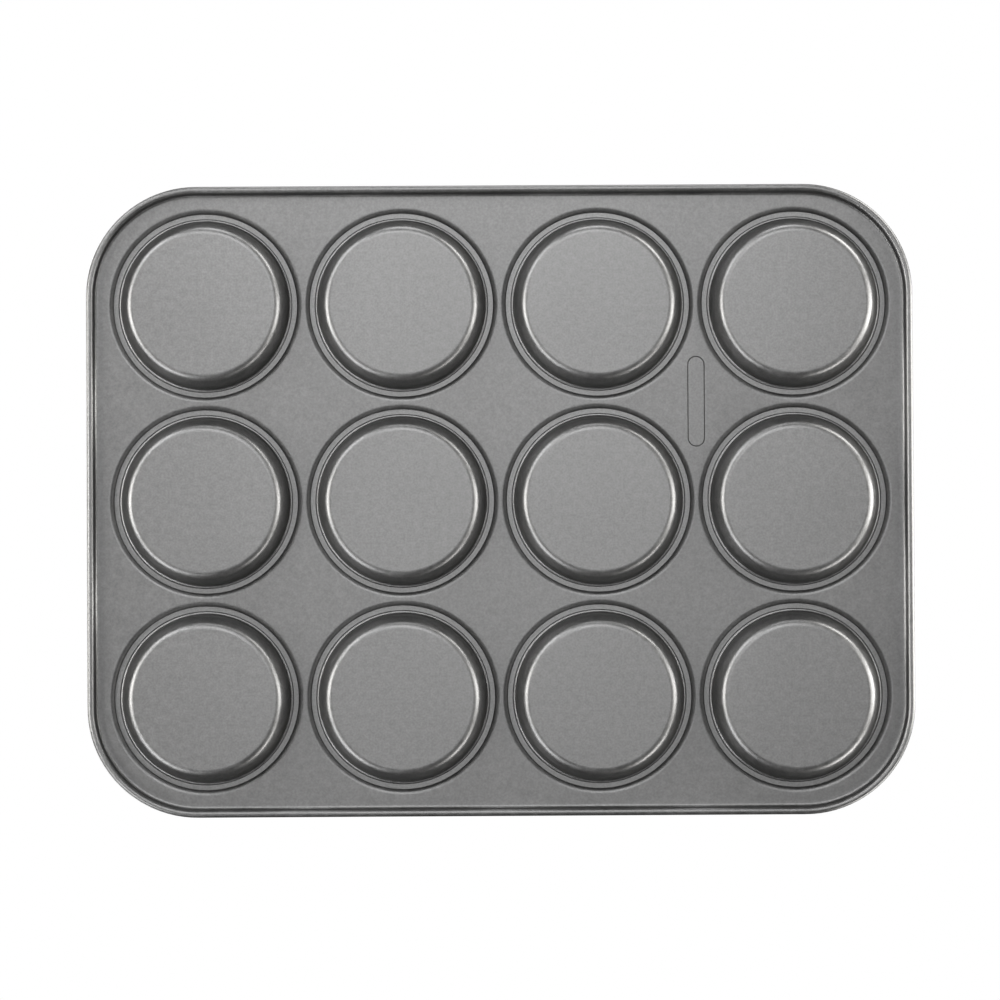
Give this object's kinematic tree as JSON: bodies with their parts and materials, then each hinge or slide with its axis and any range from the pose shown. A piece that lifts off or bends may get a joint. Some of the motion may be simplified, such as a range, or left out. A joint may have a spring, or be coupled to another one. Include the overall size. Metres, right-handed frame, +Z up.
{
  "type": "muffin tin",
  "caption": "Shallow muffin tin with round drawn cups set in a rounded rectangular deck plate, and a rolled rim over a wire.",
  "frame": {"origin": "centre of the outline, on the surface that the cups' bases stand on", "axes": "+X along the longer side, +Y across it, +Z up out of the cups' mouths"},
  "size_m": [0.4, 0.305, 0.0147],
  "materials": {
    "deck": "dark grey speckled non-stick coating on steel sheet, satin",
    "cup": "dark grey speckled non-stick coating on steel sheet, satin",
    "wire": "plain drawn steel wire"
  },
  "bodies": {
    "root": {"deck_plate": "deck", "rim_wire": "wire", "cup_r1c1": "cup", "cup_r1c2": "cup", "cup_r1c3": "cup", "cup_r1c4": "cup", "cup_r2c1": "cup", "cup_r2c2": "cup", "cup_r2c3": "cup", "cup_r2c4": "cup", "cup_r3c1": "cup", "cup_r3c2": "cup", "cup_r3c3": "cup", "cup_r3c4": "cup"}
  },
  "joints": []
}
